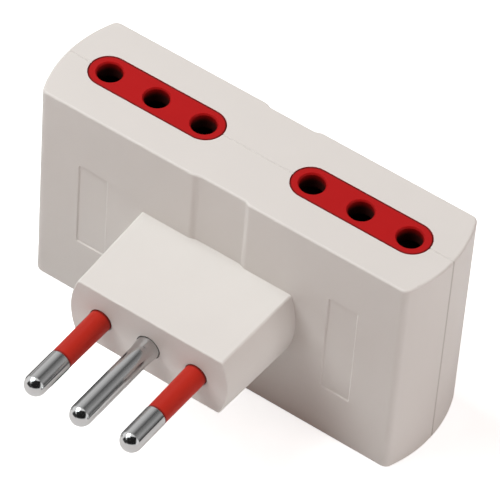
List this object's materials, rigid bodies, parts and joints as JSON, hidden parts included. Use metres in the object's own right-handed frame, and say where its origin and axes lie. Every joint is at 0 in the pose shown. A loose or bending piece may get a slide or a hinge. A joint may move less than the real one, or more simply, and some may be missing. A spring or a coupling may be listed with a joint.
{
  "type": "multi socket adapter",
  "caption": "Mains plug adapter: white moulded box with bowed ends, red socket inserts with shuttered round holes on top, and a flat boss behind with sleeved round pins.",
  "frame": {"origin": "on the plug face, on the axis of the earth pin", "axes": "-Y the way the pins point, +Z the way the sockets face, +X along the socket row"},
  "size_m": [0.0764, 0.0591, 0.0434],
  "materials": {
    "white_plastic": "satin moulded",
    "red_plastic": "satin moulded",
    "plated_pin": "polished nickel plate",
    "contact_brass": "stamped",
    "black_plastic": "moulded",
    "spring_steel": "drawn wire"
  },
  "bodies": {
    "housing": {"rear_shell": "white_plastic", "front_shell": "white_plastic", "left_socket_insert": "red_plastic", "right_socket_insert": "red_plastic", "line_pin_sleeve": "red_plastic", "neutral_pin_sleeve": "red_plastic", "line_pin": "plated_pin", "neutral_pin": "plated_pin", "earth_pin": "plated_pin", "line_bar": "contact_brass", "neutral_bar": "contact_brass", "earth_bar": "contact_brass", "left_shutter_spring": "spring_steel", "right_shutter_spring": "spring_steel"},
    "left_shutter": {"left_shutter": "black_plastic"},
    "right_shutter": {"right_shutter": "black_plastic"}
  },
  "joints": [
    {"name": "left_shutter_slide", "type": "slide", "parent": "housing", "child": "left_shutter", "axis": [1, 0, 0], "range_m": [0, 0.0047], "stiffness_N_per_m": 60, "springref_m": -0.001, "deforming": ["left_shutter_spring"]},
    {"name": "right_shutter_slide", "type": "slide", "parent": "housing", "child": "right_shutter", "axis": [-1, 0, 0], "range_m": [0, 0.0047], "stiffness_N_per_m": 60, "springref_m": -0.001, "deforming": ["right_shutter_spring"]}
  ]
}
